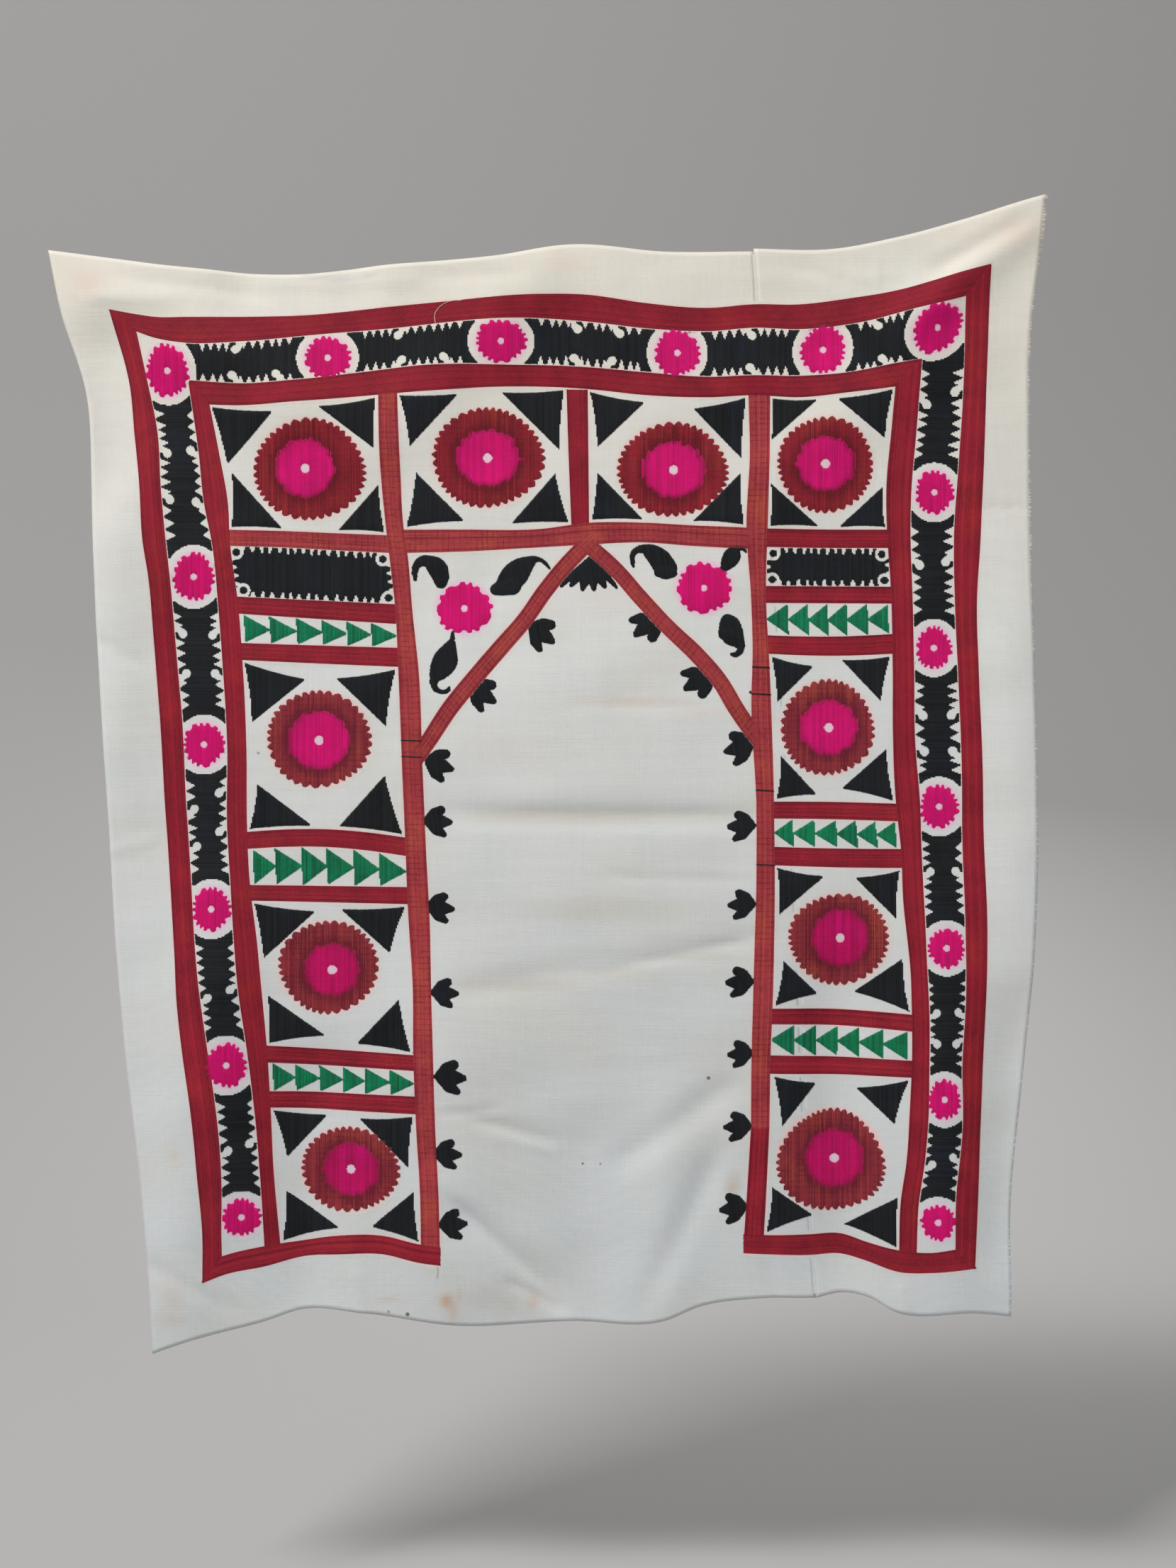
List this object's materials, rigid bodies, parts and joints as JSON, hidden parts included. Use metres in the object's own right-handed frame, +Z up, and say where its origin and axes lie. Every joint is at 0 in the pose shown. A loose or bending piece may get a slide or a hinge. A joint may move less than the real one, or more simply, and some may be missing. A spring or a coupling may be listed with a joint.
{
  "type": "suzani embroidered textile",
  "caption": "Hanging suzani: off-white cotton cloth of sewn panels, embroidered with red frames, rosettes in squares, black comb strips and an arched field.",
  "frame": {"origin": "middle hold at the top edge of the hanging cloth", "axes": "+X to the viewer's right, +Y from the face to the back, +Z up along the length of the cloth"},
  "size_m": [1.417, 0.0374, 1.6412],
  "materials": {
    "cotton_ground": "hand-woven plain cotton, matt"
  },
  "bodies": {
    "root": {"main_panel": "cotton_ground", "narrow_panel": "cotton_ground"}
  },
  "joints": []
}
